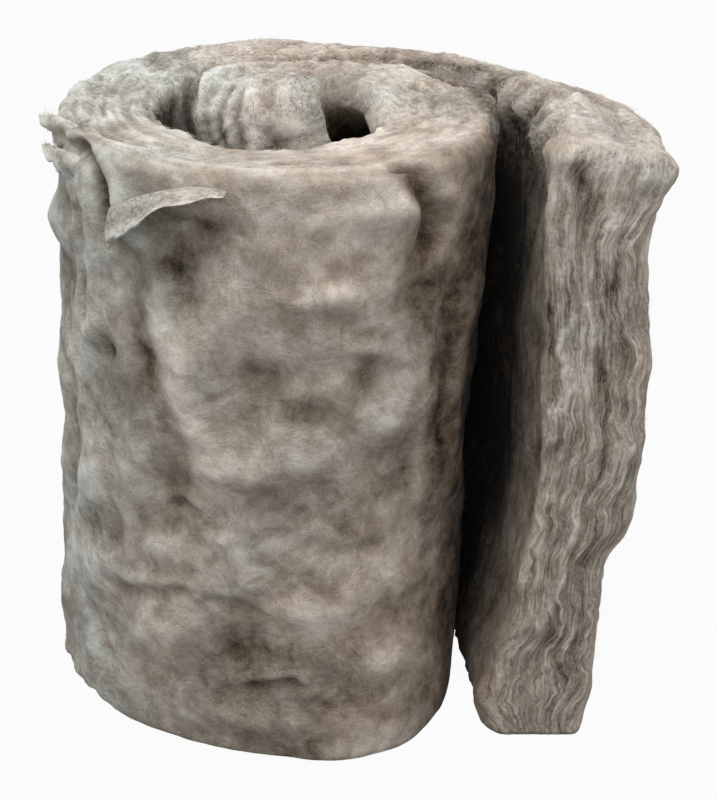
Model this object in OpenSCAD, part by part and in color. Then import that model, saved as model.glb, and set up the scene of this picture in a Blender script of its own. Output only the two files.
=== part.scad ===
// Mineral-wool insulation roll, stood on its end.
// One cut length of batt is rolled up, and its outer end stands away from the roll as a tail.
// The line of the batt is a square spiral with rounded bends, followed from the tail inwards.
// Every section along that line is a rounded oblong, thinner where the roll presses on it,
// and the free outer face is lumpy.

/* [Batt] */
// Width of the batt, which is the height of the standing roll
batt_width = 570; // [380:10:1200]
// Thickness of the batt where nothing presses on it
batt_thickness = 100; // [60:5:140]
// Rounding of the batt's long edges
edge_round = 18; // [6:1:24]

/* [Roll] */
// Free width of the bore, from the left turn to the right turn
bore_width = 208; // [160:2:300]
// Free depth of the bore, from the front turn to the back turn
bore_depth = 186; // [150:2:280]
// Gap between turns that lie against each other
turn_gap = 6; // [3:1:20]
// Gap between the left turn and the inner end that curls into the bore
core_gap = 20; // [14:1:40]
// Angle through which the inner end curls into the bore
core_curl = 76; // [30:1:90]
// How far the foot of the right turn stands in from its head
right_foot_in = 36; // [0:1:50]
// How far the foot of the right turn stands forward of its head
right_foot_forward = 15; // [0:1:30]
// How far the foot of the left turn stands out from its head
left_foot_out = 32; // [0:1:40]
// How far the foot of the front turn stands forward of its head
front_foot_forward = 16; // [0:1:30]

/* [Tail] */
// Gap between the roll and the tail, at the top
tail_gap = 50; // [25:1:90]
// Gap between the roll and the tail, at the floor
tail_foot_gap = 39; // [25:1:90]
// Reach of the tail, from the line of the back turn to its cut end
tail_reach = 330; // [280:5:500]
// How far the foot of the tail's cut end stands forward of its head
tail_foot_forward = 48; // [0:1:70]

/* [Lumps] */
// Height of the lumps on the free outer face
lump_height = 8; // [0:1:10]
// Distance from lump to lump
lump_pitch = 96; // [80:2:160]

/* [Hidden] */

// Places along the batt: tail's cut end, back, left, front, right, inner back, inner cut end.
// Thickness left at each place, as a share of the free thickness.
pressed_shares = [1.00, 0.62, 0.88, 0.84, 1.00, 0.95, 0.92];
// Share of each side of the square spiral at which its two bends meet.
meeting_shares = [0.31, 0.54, 0.56, 0.57, 0.55, 0.53];
// Shift of the foot at each place, in x and y.
tail_foot_in = right_foot_in + tail_gap - tail_foot_gap;
foot_shifts = [
    [-tail_foot_in, -tail_foot_forward], [0, 0], [-left_foot_out, 0], [0, -front_foot_forward],
    [-right_foot_in, -right_foot_forward], [0, 0], [0, 0]
];
quarter_turn = 90;
full_turn = 360;
sections_per_bend = 14;
points_per_edge = 4;
points_per_face = 12;
// Waves that make the lumps: turns in each pitch along the batt and up it, start, and share of the height.
lump_wave_shares = [
    [0.55, 0.40, 0.10, 0.40], [-0.35, 0.75, 0.60, 0.35], [0.95, -0.45, 0.30, 0.25], [0.20, 1.10, 0.80, 0.20]
];
// Swells and hollows of the front: place along the batt and up it, and share of the height.
front_swell_shares = [
    [0.525, 0.75, -0.9], [0.520, 0.83, 0.9], [0.565, 0.28, 0.9], [0.570, 0.69, -0.7], [0.600, 0.68, -1.1],
    [0.605, 0.19, 0.6], [0.615, 0.47, -1.0], [0.620, 0.87, -1.4], [0.640, 0.53, 0.9], [0.645, 0.15, -0.9],
    [0.655, 0.80, 0.9], [0.665, 0.64, -1.0], [0.675, 0.28, 0.9], [0.700, 0.70, 0.9], [0.700, 0.92, 1.0]
];
swell_radius_share = 0.32;
// Share of the thickness that an edge's rounding may take.
edge_limit_share = 0.45;

thickness = [for (share = pressed_shares) share * batt_thickness];
back_thickness = thickness[1];
left_thickness = thickness[2];
front_thickness = thickness[3];
right_thickness = thickness[4];
inner_thickness = thickness[5];
core_thickness = thickness[6];

// Centre lines of the turns: the bore is centred between them, and outer turns lie outside inner ones.
right_x = (bore_width + right_thickness) / 2;
left_x = -(bore_width + left_thickness) / 2;
front_y = -(bore_depth + front_thickness) / 2;
inner_y = (bore_depth + inner_thickness) / 2;
back_y = inner_y + (inner_thickness + back_thickness) / 2 + turn_gap;
tail_x = right_x + (right_thickness + thickness[0]) / 2 + tail_gap;
core_x = left_x + (left_thickness + core_thickness) / 2 + core_gap;

corners = [
    [tail_x, back_y - tail_reach], [tail_x, back_y], [left_x, back_y], [left_x, front_y],
    [right_x, front_y], [right_x, inner_y], [core_x, inner_y]
];
bends = len(corners) - 1;

function unit(angle) = [cos(angle), sin(angle)];
function smooth(w) = w * w * (3 - 2 * w);
function mix(a, b, w) = a + (b - a) * w;
// Direction of travel along the side that leaves corner i.
function heading(i) = quarter_turn * (i + 1);
function side(i) = norm(corners[i + 1] - corners[i]);
// Radius of the bend at corner i, as large as the two sides' meeting places allow.
function bend_radius(i) =
    let (before = (1 - meeting_shares[i - 1]) * side(i - 1))
    i < bends ? min(before, meeting_shares[i] * side(i)) : before;
function bend_centre(i) =
    corners[i] + bend_radius(i) * (unit(heading(i)) - unit(heading(i - 1)));
function bend_sweep(i) = i < bends ? quarter_turn : core_curl;
function bend_length(i) = 2 * PI * bend_radius(i) * bend_sweep(i) / full_turn;
// Length of the line up to the start of the bend at corner i.
function bend_start(i) =
    i == 1 ? side(0) - bend_radius(1)
    : bend_start(i - 1) + bend_length(i - 1) + side(i - 1) - bend_radius(i - 1) - bend_radius(i);
batt_length = bend_start(bends) + bend_length(bends);

// A station is a place on the line, its heading, thickness, shift of its foot and the length up to it.
function station(i, w) =
    let (angle = heading(i - 1) + bend_sweep(i) * w)
    [
        bend_centre(i) + bend_radius(i) * unit(angle - quarter_turn),
        angle,
        mix(thickness[i - 1], thickness[i], smooth(w)),
        mix(foot_shifts[i - 1], foot_shifts[i], smooth(w)),
        bend_start(i) + bend_length(i) * w
    ];
stations = concat(
    [[corners[0], heading(0), thickness[0], foot_shifts[0], 0]],
    [for (i = [1 : bends]) for (k = [0.5 : sections_per_bend - 0.5]) station(i, k / sections_per_bend)],
    [station(bends, 1)]
);

// Lumps of the outer face at a length along the batt and a height up it.
// The face lies free up to the bend before the last two, and then other turns cover it.
last_free_bend = bends - 2;
free_start = bend_start(last_free_bend);
free_fade = bend_length(last_free_bend);
swell_radius = swell_radius_share * lump_pitch;
function clamped(w) = max(0, min(1, w));
function total(values) = values * [for (v = values) 1];
function wave_lumps(along, up) = total([
    for (w = lump_wave_shares) w[3] * sin(full_turn * ((w[0] * along + w[1] * up) / lump_pitch + w[2]))
]);
function front_swells(along, up) = total([
    for (w = front_swell_shares)
        let (offset = [along - w[0] * batt_length, up - w[1] * batt_width] / swell_radius)
        w[2] * exp(-offset * offset)
]);
function lump(along, up) =
    let (
        free = 1 - smooth(clamped((along - free_start) / free_fade)),
        clear_of_edges = smooth(clamped(2 * min(up, batt_width - up) / lump_pitch))
    )
    lump_height * free * clear_of_edges * (wave_lumps(along, up) + front_swells(along, up));

// Rounded oblong section: first number across the thickness, second up the width.
function edge_arc(middle, r, quarter) = [
    for (k = [0 : points_per_edge - 1])
        middle + r * unit(quarter_turn * (quarter + k / (points_per_edge - 1)))
];
function section(s) =
    let (
        half = s[2] / 2,
        r = min(edge_round, edge_limit_share * s[2]),
        x = half - r,
        low = r,
        high = batt_width - r,
        face_heights = [for (k = [1 : points_per_face]) mix(low, high, k / (points_per_face + 1))]
    )
    concat(
        edge_arc([x, low], r, -1),
        [for (up = face_heights) [half + lump(s[4], up), up]],
        edge_arc([x, high], r, 0), edge_arc([-x, high], r, 1), edge_arc([-x, low], r, 2)
    );
function placed(s, p) =
    let (plan = s[0] + p[0] * unit(s[1] - quarter_turn) + (1 - p[1] / batt_width) * s[3])
    [plan[0], plan[1], p[1]];

batt_points = [for (s = stations) for (p = section(s)) placed(s, p)];
loop_size = len(section(stations[0]));
last_loop = (len(stations) - 1) * loop_size;
batt_faces = concat(
    [[for (k = [loop_size - 1 : -1 : 0]) k]],
    [for (i = [0 : len(stations) - 2]) for (k = [0 : loop_size - 1]) each
        let (a = i * loop_size + k, b = i * loop_size + (k + 1) % loop_size)
        [[a, b, a + loop_size], [b, b + loop_size, a + loop_size]]],
    [[for (k = [0 : loop_size - 1]) last_loop + k]]
);

// The origin is the middle of the footprint's box, on the floor.
function middle(values) = (min(values) + max(values)) / 2;
footprint_middle = [middle([for (p = batt_points) p[0]]), middle([for (p = batt_points) p[1]]), 0];

module wool_batt() {
    color([0.62, 0.57, 0.52])
        translate(-footprint_middle)
            polyhedron(batt_points, batt_faces, convexity = 10);
}

wool_batt();
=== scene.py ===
"""Mineral-wool insulation roll: a lumpy batt with layered cut ends, a torn flap, tufts and loose fibres."""

import itertools
import math

import bpy
import numpy as np
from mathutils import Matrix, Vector


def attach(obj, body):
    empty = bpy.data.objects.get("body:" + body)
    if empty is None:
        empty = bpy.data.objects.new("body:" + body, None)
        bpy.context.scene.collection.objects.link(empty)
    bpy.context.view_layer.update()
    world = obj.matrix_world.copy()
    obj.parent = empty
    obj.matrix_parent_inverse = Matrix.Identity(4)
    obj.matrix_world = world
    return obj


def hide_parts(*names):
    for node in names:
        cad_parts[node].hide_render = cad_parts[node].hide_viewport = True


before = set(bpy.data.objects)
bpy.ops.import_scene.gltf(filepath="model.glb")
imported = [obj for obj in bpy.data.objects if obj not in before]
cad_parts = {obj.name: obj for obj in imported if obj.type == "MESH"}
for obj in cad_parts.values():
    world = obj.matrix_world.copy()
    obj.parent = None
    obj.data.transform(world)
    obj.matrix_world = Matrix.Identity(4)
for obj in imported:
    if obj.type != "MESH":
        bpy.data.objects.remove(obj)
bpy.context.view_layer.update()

# Sizes of the batt and its roll, in metres, as in the solid.
BATT_WIDTH = 0.57
BATT_THICKNESS = 0.1
BORE_WIDTH = 0.208
BORE_DEPTH = 0.186
TURN_GAP = 0.006
CORE_GAP = 0.02
CORE_CURL = math.radians(76)
TAIL_GAP = 0.05
TAIL_FOOT_GAP = 0.039
TAIL_REACH = 0.33
TAIL_FOOT_FORWARD = 0.048
RIGHT_FOOT = (-0.036, -0.015)
LEFT_FOOT = (-0.032, 0.0)
FRONT_FOOT = (0.0, -0.016)
# Places along the batt: tail's cut end, back, left, front, right, inner back, inner cut end.
PRESSED_SHARES = (1.0, 0.62, 0.88, 0.84, 1.0, 0.95, 0.92)
MEETING_SHARES = (0.31, 0.54, 0.56, 0.57, 0.55, 0.53)
QUARTER_TURN = math.pi / 2
FULL_TURN = 4 * QUARTER_TURN
STEPS_PER_BEND = 240
# Main lumps of the free outer face, as in the solid: turns in each pitch along the batt and up it,
# start, and share of the height.
LUMP_HEIGHT = 0.008
LUMP_PITCH = 0.096
LUMP_WAVES = (
    (0.55, 0.4, 0.1, 0.4), (-0.35, 0.75, 0.6, 0.35), (0.95, -0.45, 0.3, 0.25), (0.2, 1.1, 0.8, 0.2),
)
LUMPS_FADE = (1.064, 1.268)

rng = np.random.default_rng(7)


def smooth(w):
    return w * w * (3 - 2 * w)


def ramp(low, high, value):
    """0 below low, 1 above high, smooth between."""
    return smooth(np.clip((value - low) / (high - low), 0, 1))


def bell(value):
    """1 at zero, sinking to 0 on both sides."""
    return np.exp(-(value ** 2))


def joined(*parts):
    return np.stack(parts, axis=-1)


def unit(angle):
    return joined(np.cos(angle), np.sin(angle))


def normalized(vectors):
    return vectors / np.maximum(np.linalg.norm(vectors, axis=-1, keepdims=True), 1e-12)


# Noise on arrays of points: each corner of a cell picks a gradient by mixing its whole numbers.
GRADIENTS = normalized(np.random.default_rng(3).normal(size=(256, 3)))
X_FACTOR = 73856093
Y_FACTOR = 19349663
Z_FACTOR = 83492791
SEED_FACTOR = 7919
MIX_FACTOR = 1274126177
SEED_SHIFT = 17.31
NOISE_GAIN = 1.7


def noise(points, size, seed):
    """Smooth noise of about -1 to 1, with features of the given size."""
    scaled = np.asarray(points, float) / size + SEED_SHIFT * seed
    cell = np.floor(scaled).astype(np.int64)
    part = scaled - cell
    blend = part ** 3 * (part * (part * 6 - 15) + 10)
    total = np.zeros(part.shape[:-1])
    for corner in itertools.product((0, 1), repeat=3):
        x, y, z = np.moveaxis(cell + corner, -1, 0)
        mixed = x * X_FACTOR ^ y * Y_FACTOR ^ z * Z_FACTOR ^ seed * SEED_FACTOR
        mixed = (mixed ^ (mixed >> 13)) * MIX_FACTOR
        gradient = GRADIENTS[(mixed ^ (mixed >> 16)) & (len(GRADIENTS) - 1)]
        weight = np.prod(np.where(corner, blend, 1 - blend), axis=-1)
        total += weight * np.sum(gradient * (part - corner), axis=-1)
    return NOISE_GAIN * total


# The line of the batt, from the tail's cut end inwards.
def batt_line():
    thick = np.array(PRESSED_SHARES) * BATT_THICKNESS
    tail, back, left, front, right, inner, core = thick
    right_x = (BORE_WIDTH + right) / 2
    left_x = -(BORE_WIDTH + left) / 2
    front_y = -(BORE_DEPTH + front) / 2
    inner_y = (BORE_DEPTH + inner) / 2
    back_y = inner_y + (inner + back) / 2 + TURN_GAP
    tail_x = right_x + (right + tail) / 2 + TAIL_GAP
    core_x = left_x + (left + core) / 2 + CORE_GAP
    corners = np.array([
        (tail_x, back_y - TAIL_REACH), (tail_x, back_y), (left_x, back_y), (left_x, front_y),
        (right_x, front_y), (right_x, inner_y), (core_x, inner_y),
    ])
    tail_in = TAIL_FOOT_GAP - TAIL_GAP + RIGHT_FOOT[0]
    feet = np.array([
        (tail_in, -TAIL_FOOT_FORWARD), (0, 0), LEFT_FOOT, FRONT_FOOT, RIGHT_FOOT, (0, 0), (0, 0),
    ])
    sides = np.linalg.norm(np.diff(corners, axis=0), axis=1)
    place = [corners[:1]]
    heading = [[QUARTER_TURN]]
    thickness = [thick[:1]]
    foot = [feet[:1]]
    last = len(corners) - 1
    share = np.linspace(0, 1, STEPS_PER_BEND)
    eased = smooth(share)
    for i in range(1, last + 1):
        radius = (1 - MEETING_SHARES[i - 1]) * sides[i - 1]
        sweep = CORE_CURL
        if i < last:
            radius = min(radius, MEETING_SHARES[i] * sides[i])
            sweep = QUARTER_TURN
        start = QUARTER_TURN * i
        centre = corners[i] + radius * (unit(start + QUARTER_TURN) - unit(start))
        angle = start + sweep * share
        place.append(centre + radius * unit(angle - QUARTER_TURN))
        heading.append(angle)
        thickness.append(thick[i - 1] + (thick[i] - thick[i - 1]) * eased)
        foot.append(feet[i - 1] + (feet[i] - feet[i - 1]) * eased[:, None])
    place = np.concatenate(place)
    along = np.concatenate([[0], np.cumsum(np.linalg.norm(np.diff(place, axis=0), axis=1))])
    return {"along": along, "place": place, "heading": np.concatenate(heading),
            "thickness": np.concatenate(thickness), "foot": np.concatenate(foot)}


LINE = batt_line()
BATT_LENGTH = LINE["along"][-1]
# The solid's origin is the middle of its footprint, so the roll's own origin lies off it by this much.
ROLL_SHIFT = np.array([-0.06465, -0.033, 0.0])


def line_at(along, key):
    """A value of the line at each place along it."""
    values = LINE[key]
    if values.ndim == 1:
        return np.interp(along, LINE["along"], values)
    return joined(*[np.interp(along, LINE["along"], column) for column in values.T])


def half_at(along):
    return line_at(along, "thickness") / 2


def outward_at(along):
    return unit(line_at(along, "heading") - QUARTER_TURN)


def in_plan(vectors):
    return np.concatenate([vectors, np.zeros(vectors.shape[:-1] + (1,))], axis=-1)


def in_batt(along, across, up):
    """Place of a point of the batt: metres along its line, outwards from it and up."""
    along, across, up = np.broadcast_arrays(along, across, up)
    plan = line_at(along, "place") + across[..., None] * outward_at(along)
    plan = plan + (1 - up / BATT_WIDTH)[..., None] * line_at(along, "foot")
    return np.concatenate([plan, up[..., None]], axis=-1) + ROLL_SHIFT


# Wandering of the tail's two upright edges, as heights and shifts outwards.
TAIL_OUTER_EDGE = (
    (0.0, 0.03, 0.1, 0.185, 0.2, 0.285, 0.39, 0.43, 0.46, 0.485, 0.515, 0.55, 0.57),
    (-0.016, -0.014, -0.012, -0.012, -0.002, 0.006, 0.002, -0.005, -0.021, -0.026, -0.011, 0.003, 0.0),
)
TAIL_INNER_EDGE = (
    (0.0, 0.03, 0.07, 0.115, 0.165, 0.21, 0.29, 0.44, 0.57),
    (0.008, -0.01, -0.002, 0.013, 0.004, 0.015, 0.015, 0.002, -0.004),
)
TAIL_EDGE_REACH = 0.075
TAIL_EDGE_EASE = 0.01
TAIL_EDGE_STEPS = 5


def tail_shift(along, share, up):
    """How far the tail's edges wander, at a share of -1 for its inner face to 1 for its outer face."""
    near = [up + step for step in np.linspace(-TAIL_EDGE_EASE, TAIL_EDGE_EASE, TAIL_EDGE_STEPS)]
    outer = np.mean([np.interp(height, *TAIL_OUTER_EDGE) for height in near], axis=0)
    inner = np.mean([np.interp(height, *TAIL_INNER_EDGE) for height in near], axis=0)
    weight = (share + 1) / 2
    return (inner + (outer - inner) * weight) * bell(along / TAIL_EDGE_REACH)


# Folds, creases, pits and puffs of the outer face: places are metres along the batt and up.
# Each fold has its line, its half width, its depth, and the height of the lip on its far side.
# A depth below zero makes a ridge.
FOLDS = (
    (((0.915, 0.529), (0.932, 0.493), (0.947, 0.457), (0.956, 0.431), (0.964, 0.401), (0.967, 0.364),
      (0.979, 0.32), (0.993, 0.274), (1.003, 0.241)), 0.01, 0.006, 0.005),
    (((0.878, 0.556), (0.898, 0.551), (0.91, 0.541), (0.917, 0.529), (0.924, 0.51)), 0.009, 0.018, 0.003),
    (((1.134, 0.566), (1.142, 0.556), (1.152, 0.534), (1.163, 0.509), (1.166, 0.488)), 0.009, 0.012, 0.004),
    (((1.03, 0.08), (1.043, 0.081), (1.06, 0.084)), 0.005, 0.006, 0.004),
    (((0.922, 0.148), (0.938, 0.147), (0.955, 0.157), (0.975, 0.166)), 0.006, 0.005, 0.003),
    (((0.998, 0.161), (1.016, 0.163), (1.029, 0.154)), 0.005, 0.004, 0.002),
    (((0.97, 0.249), (0.979, 0.252), (0.988, 0.249)), 0.005, 0.005, 0.003),
    (((1.013, 0.136), (1.016, 0.114)), 0.005, 0.003, 0.001),
    (((1.0, 0.059), (1.009, 0.068)), 0.005, 0.003, 0.001),
    (((1.074, 0.07), (1.086, 0.06), (1.101, 0.062)), 0.005, 0.003, 0.001),
    (((1.039, 0.235), (1.056, 0.24), (1.065, 0.254)), 0.005, 0.002, 0.001),
    (((1.068, 0.232), (1.093, 0.213), (1.119, 0.214)), 0.007, 0.002, 0.001),
    (((1.058, 0.181), (1.054, 0.156)), 0.004, 0.003, 0.001),
    (((1.004, 0.363), (1.022, 0.371), (1.04, 0.367), (1.056, 0.357)), 0.005, 0.002, 0.001),
    (((1.03, 0.331), (1.024, 0.297)), 0.006, 0.003, 0.001),
    (((1.066, 0.47), (1.09, 0.44), (1.108, 0.425), (1.125, 0.414)), 0.008, 0.003, 0.001),
    (((1.11, 0.395), (1.114, 0.376), (1.112, 0.361)), 0.007, 0.005, 0.001),
    (((0.884, 0.5), (0.886, 0.455), (0.888, 0.4)), 0.007, 0.005, 0.002),
    (((0.862, 0.34), (0.866, 0.28), (0.862, 0.21)), 0.01, 0.006, 0.003),
    (((0.915, 0.3), (0.92, 0.25), (0.917, 0.19)), 0.01, 0.006, 0.003),
    (((1.19, 0.44), (1.18, 0.38), (1.188, 0.3)), 0.012, 0.006, 0.003),
    (((0.958, 0.44), (0.965, 0.42), (0.974, 0.371), (0.985, 0.331)), 0.012, -0.008, 0.0),
    (((0.99, 0.29), (0.996, 0.254), (1.012, 0.213), (1.022, 0.19)), 0.012, -0.008, 0.0),
)
# Each puff has its place, its two radii and its height, which is below zero for a pit.
PUFFS = (
    (0.998, 0.515, 0.028, 0.014, -0.007), (0.974, 0.484, 0.022, 0.034, -0.008),
    (0.949, 0.389, 0.012, 0.018, -0.01), (1.038, 0.387, 0.024, 0.016, -0.008),
    (1.069, 0.353, 0.03, 0.018, -0.009), (0.974, 0.269, 0.014, 0.026, -0.01),
    (1.062, 0.271, 0.034, 0.02, -0.006), (1.023, 0.11, 0.018, 0.026, -0.009),
    (1.032, 0.063, 0.03, 0.018, -0.007), (1.114, 0.379, 0.014, 0.018, -0.009),
    (0.918, 0.383, 0.008, 0.011, -0.01), (0.861, 0.494, 0.014, 0.022, -0.009),
    (0.924, 0.143, 0.018, 0.012, -0.007), (1.1, 0.227, 0.026, 0.028, -0.006),
    (1.147, 0.454, 0.016, 0.034, -0.007), (1.14, 0.276, 0.018, 0.03, -0.006),
    (0.892, 0.199, 0.012, 0.02, -0.006), (1.092, 0.083, 0.024, 0.016, -0.006),
    (0.832, 0.425, 0.022, 0.018, -0.008), (1.045, 0.015, 0.05, 0.02, -0.005),
    (1.133, 0.527, 0.02, 0.022, 0.009), (1.099, 0.528, 0.024, 0.02, 0.006),
    (1.016, 0.449, 0.018, 0.032, 0.009), (1.081, 0.461, 0.026, 0.014, 0.008),
    (1.113, 0.416, 0.018, 0.014, 0.006), (1.089, 0.361, 0.016, 0.014, 0.003),
    (1.13, 0.336, 0.016, 0.016, 0.008), (1.018, 0.303, 0.018, 0.022, 0.008),
    (1.06, 0.414, 0.028, 0.02, 0.005), (1.045, 0.5, 0.024, 0.022, 0.005),
    (1.092, 0.157, 0.022, 0.018, 0.008), (1.056, 0.157, 0.018, 0.018, 0.007),
    (0.897, 0.156, 0.016, 0.02, 0.008), (0.905, 0.254, 0.014, 0.02, 0.006),
    (0.917, 0.296, 0.012, 0.02, 0.005), (0.958, 0.106, 0.022, 0.022, 0.006),
    (1.143, 0.183, 0.018, 0.026, 0.006), (1.126, 0.094, 0.022, 0.02, 0.006),
    (0.826, 0.468, 0.02, 0.02, 0.01), (0.96, 0.205, 0.018, 0.014, 0.006),
    (0.94, 0.515, 0.014, 0.02, 0.006), (1.58, 0.52, 0.05, 0.12, 0.026),
    (1.34, 0.56, 0.03, 0.022, 0.01), (1.4, 0.56, 0.03, 0.022, 0.01),
)
# Puffs of the inner face: the inner end swells into the bore, and the tail's head is lumpy.
INNER_PUFFS = (
    (1.57, 0.47, 0.06, 0.14, 0.05), (1.45, 0.56, 0.05, 0.03, 0.024),
    (1.37, 0.56, 0.05, 0.022, 0.022), (1.4, 0.47, 0.07, 0.055, -0.04),
    (1.3, 0.555, 0.04, 0.04, 0.016), (0.035, 0.556, 0.02, 0.024, 0.003),
    (0.088, 0.556, 0.016, 0.018, 0.013), (0.13, 0.545, 0.016, 0.03, 0.013),
    (0.185, 0.556, 0.02, 0.016, 0.016), (0.24, 0.544, 0.016, 0.028, 0.015),
    (0.3, 0.556, 0.018, 0.018, 0.013), (0.35, 0.552, 0.022, 0.018, 0.01),
    (0.15, 0.0, 0.13, 0.11, 0.028),
)
# Puffs of the top edge: places are metres along the batt and across it.
TOP_PUFFS = (
    (1.57, 0.0, 0.06, 0.06, 0.004), (1.494, -0.016, 0.014, 0.016, -0.012),
    (1.472, 0.0, 0.014, 0.018, -0.01), (1.449, -0.012, 0.01, 0.026, -0.014),
    (1.4, 0.044, 0.07, 0.012, -0.018),
    (0.44, -0.028, 0.08, 0.009, -0.01), (0.36, -0.036, 0.06, 0.01, -0.012),
    (0.06, -0.03, 0.02, 0.016, 0.008), (0.12, -0.028, 0.018, 0.014, 0.009),
    (0.18, -0.028, 0.02, 0.014, 0.008), (0.24, -0.028, 0.02, 0.012, 0.009),
    (0.1, 0.014, 0.06, 0.012, -0.007), (0.88, 0.02, 0.04, 0.014, -0.006),
)
# Patches of the top, as metres along the batt and across it, two radii and strength: mostly painted shade in
# its crevices, its notch and the gaps between turns, with some paler and browner patches of the wool itself.
TOP_TONES_AND_PAINTED_SHADING = (
    (1.48, -0.012, 0.022, 0.02, -1.0), (1.449, -0.014, 0.01, 0.026, -1.1),
    (1.42, -0.046, 0.05, 0.01, -0.4), (1.4, 0.046, 0.07, 0.01, -1.5),
    (1.33, 0.048, 0.05, 0.01, -1.5), (0.42, -0.04, 0.05, 0.012, -1.2),
    (0.33, -0.03, 0.05, 0.012, -0.9), (0.2, 0.006, 0.04, 0.012, -0.7),
    (0.06, 0.01, 0.03, 0.016, 0.5),
)
# Patches of the outer face, place, two radii and strength: mostly painted shade under the flap, in creases
# and beside ridges, and painted highlights on ridges and puffs, with some paler and darker patches of the
# wool itself.
FACE_TONES_AND_PAINTED_SHADING = (
    (1.0, 0.52, 0.022, 0.01, -0.4), (0.968, 0.478, 0.014, 0.034, -0.5), (1.042, 0.497, 0.022, 0.014, -0.7),
    (1.095, 0.524, 0.05, 0.032, 0.6), (1.064, 0.548, 0.045, 0.018, 0.5), (1.126, 0.47, 0.016, 0.028, 0.6),
    (1.085, 0.147, 0.03, 0.018, 0.8), (1.02, 0.21, 0.026, 0.026, 0.4), (1.114, 0.205, 0.018, 0.03, 0.4),
    (1.115, 0.012, 0.034, 0.026, 1.3), (1.159, 0.275, 0.006, 0.07, 0.8), (1.15, 0.536, 0.01, 0.034, -1.3),
    (1.166, 0.4, 0.014, 0.06, -0.9), (1.18, 0.31, 0.014, 0.08, -0.9), (1.062, 0.108, 0.034, 0.013, -0.8),
    (0.992, 0.244, 0.016, 0.03, -0.7), (0.952, 0.398, 0.01, 0.04, -1.0), (1.075, 0.305, 0.03, 0.016, 0.5),
    (1.045, 0.4, 0.04, 0.022, 0.5), (0.89, 0.44, 0.014, 0.06, 0.4), (0.872, 0.16, 0.02, 0.08, 0.6),
    (0.917, 0.522, 0.008, 0.018, -2.0), (0.918, 0.383, 0.007, 0.01, -1.2), (0.964, 0.42, 0.007, 0.028, 0.7),
    (0.976, 0.368, 0.008, 0.026, 0.7), (0.985, 0.512, 0.012, 0.008, 0.5),
    (0.99, 0.318, 0.008, 0.026, 0.8), (1.004, 0.272, 0.008, 0.026, 0.7), (0.948, 0.43, 0.006, 0.02, -0.9),
    (0.956, 0.38, 0.007, 0.024, -1.3), (0.966, 0.328, 0.008, 0.03, -1.0), (0.98, 0.282, 0.008, 0.026, -0.7),
    (0.928, 0.32, 0.024, 0.045, -0.6), (0.896, 0.385, 0.012, 0.016, 0.6), (0.984, 0.47, 0.018, 0.028, -0.7),
)


def swollen(puffs, first, second):
    """Height of a list of puffs at each place of a face."""
    height = np.zeros(np.shape(first))
    for first_at, second_at, first_radius, second_radius, rise in puffs:
        far = ((first - first_at) / first_radius) ** 2 + ((second - second_at) / second_radius) ** 2
        height += rise * np.exp(-far)
    return height


def from_line(place, line):
    """Distance of each place from a line of points, and on which side of it the place lies."""
    best = np.full(place.shape[:-1], np.inf)
    side = np.zeros(place.shape[:-1])
    for start, end in zip(np.array(line[:-1]), np.array(line[1:])):
        run = end - start
        share = np.clip(np.sum((place - start) * run, axis=-1) / np.sum(run * run), 0, 1)
        offset = place - start - share[..., None] * run
        distance = np.linalg.norm(offset, axis=-1)
        turn = np.sign(run[0] * offset[..., 1] - run[1] * offset[..., 0])
        nearer = distance < best
        best = np.where(nearer, distance, best)
        side = np.where(nearer, turn, side)
    return best, side


# Third place of flat noise, for each step of its seed.
FLAT_STEP = 0.1
# Wandering of the folds and its size, and how far a fold's lip lies from its line, in half widths.
FOLD_WANDER = 0.006
FOLD_WANDER_SIZE = 0.035
LIP_PLACE = 1.6
# Wisps of clouds: the size and reach of their drift, as shares of the cloud's size.
WISP_SIZE_SHARE = 1.6
WISP_REACH_SHARE = 0.8


def flat_noise(first, second, size, seed):
    return noise(joined(first, second, np.full(np.shape(first), FLAT_STEP * seed)), size, seed)


def folded(along, up):
    """Height of the listed folds and puffs at each place of the outer face."""
    along = along + FOLD_WANDER * flat_noise(along, up, FOLD_WANDER_SIZE, 5)
    up = up + FOLD_WANDER * flat_noise(along, up, FOLD_WANDER_SIZE, 6)
    height = swollen(PUFFS, along, up)
    for line, width, depth, lip in FOLDS:
        distance, side = from_line(joined(along, up), line)
        height -= depth * bell(distance / width)
        height += lip * bell((distance * side - LIP_PLACE * width) / width)
    return height


def clouds(points, size, seed):
    """Noise whose patches are drawn out into wisps."""
    drift = joined(*[noise(points, WISP_SIZE_SHARE * size, seed + k) for k in range(3)])
    return noise(points + WISP_REACH_SHARE * size * drift, size, seed + 3)


def layered(kind, points, layers):
    """Layers of one kind of noise, added up."""
    return sum(share * kind(points, size, seed) for share, size, seed in layers)


def flat_layers(first, second, layers):
    """Layers of flat noise, each drawn out by its two scales, added up."""
    return sum(share * flat_noise(first_scale * first, second_scale * second, size, seed)
               for share, first_scale, second_scale, size, seed in layers)


def stretch(along, sets_in, fades_out):
    """1 on a stretch of the batt, 0 before and after it."""
    return ramp(*sets_in, along) * (1 - ramp(*fades_out, along))


# Layers of noise in the wool: share, size and seed, with two scales before the size where they are flat.
BROAD_LUMPS = ((0.006, 0.12, 1), (0.004, 0.06, 2))
FINE_LUMPS = ((0.002, 0.032, 3), (0.0005, 0.014, 4))
WRINKLES = ((1.0, 1.0, 0.3, 0.013, 17), (0.6, 1.0, 0.4, 0.007, 18))
WRINKLE_HEIGHT = 0.0022
TUFTS = ((0.006, 0.03, 63), (0.003, 0.013, 73))
TOP_STRANDS = ((1.0, 0.1, 1.0, 0.0085, 7), (0.6, 0.16, 1.0, 0.0045, 16))
TOP_FLUFF = ((0.0045, 0.04, 10), (0.0026, 0.015, 11))
TOP_GRAIN = ((0.001, 0.008, 14),)
TOP_WAVES = ((0.004, 0.11, 9),)
FOOT_LUMPS = ((0.002, 0.05, 12),)
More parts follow.
